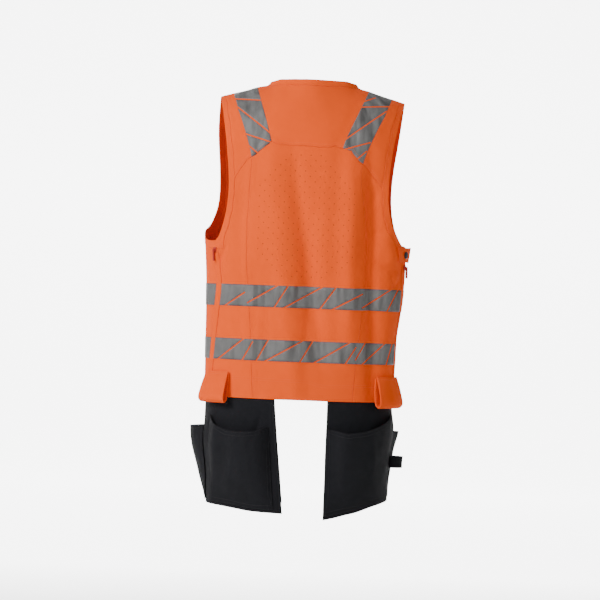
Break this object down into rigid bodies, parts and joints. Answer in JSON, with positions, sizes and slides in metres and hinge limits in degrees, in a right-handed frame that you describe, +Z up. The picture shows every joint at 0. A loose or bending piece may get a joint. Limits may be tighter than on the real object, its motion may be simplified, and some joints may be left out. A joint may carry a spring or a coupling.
{
  "type": "tool vest with hanging holster pockets",
  "caption": "Sleeveless high-visibility work vest with reflective tapes, perforated back panel, side zips, tool loops and holster pockets that hang below the hem.",
  "frame": {"origin": "midway between the points where the shoulder seams meet the neckband, where the vest sits on the wearer", "axes": "+Z up, -Y out of the chest, +Y out of the back, +X to the wearer's left"},
  "size_m": [0.4477, 0.2691, 0.9058],
  "materials": {
    "orange_fabric": "fluorescent orange softshell cloth, matt",
    "reflective_tape": "grey segmented retroreflective tape, satin",
    "black_fabric": "coarse black woven nylon, matt",
    "zip_plastic": "dark red-orange moulded plastic",
    "snap_metal": "gunmetal"
  },
  "bodies": {
    "vest": {"armhole_band_left": "orange_fabric", "armhole_band_right": "orange_fabric", "back_panel": "orange_fabric", "back_side_left": "orange_fabric", "back_side_right": "orange_fabric", "back_yoke": "orange_fabric", "front_left": "orange_fabric", "front_right": "orange_fabric", "front_zip": "zip_plastic", "hammer_loop_right": "black_fabric", "holster_back_bag_left": "black_fabric", "holster_back_bag_right": "black_fabric", "holster_panel_left": "black_fabric", "holster_panel_right": "black_fabric", "holster_side_bag_left": "black_fabric", "holster_side_bag_right": "black_fabric", "lower_tape_back": "reflective_tape", "lower_tape_left": "reflective_tape", "lower_tape_right": "reflective_tape", "neckband": "orange_fabric", "shoulder_tape_left": "reflective_tape", "shoulder_tape_right": "reflective_tape", "side_panel_left": "orange_fabric", "side_panel_right": "orange_fabric", "side_placket_left": "orange_fabric", "side_placket_right": "orange_fabric", "side_snap_right": "snap_metal", "side_tab_right": "orange_fabric", "tool_loop_left": "orange_fabric", "tool_loop_right": "orange_fabric", "upper_tape_back": "reflective_tape", "upper_tape_left": "reflective_tape", "upper_tape_right": "reflective_tape", "zip_slider_left": "zip_plastic", "zip_slider_right": "zip_plastic"},
    "pull_left": {"zip_pull_left": "zip_plastic"},
    "pull_right": {"zip_pull_right": "zip_plastic"}
  },
  "joints": [
    {"name": "zip_pull_left_swing", "type": "hinge", "parent": "vest", "child": "pull_left", "pos_m": [0.1934, 0.0705, -0.3507], "axis": [0.7153, -0.6988, -0.0006], "range_deg": [0, 155]},
    {"name": "zip_pull_right_swing", "type": "hinge", "parent": "vest", "child": "pull_right", "pos_m": [-0.2074, 0.0365, -0.3719], "axis": [0.3392, 0.9407, -0.0029], "range_deg": [0, 155]}
  ]
}
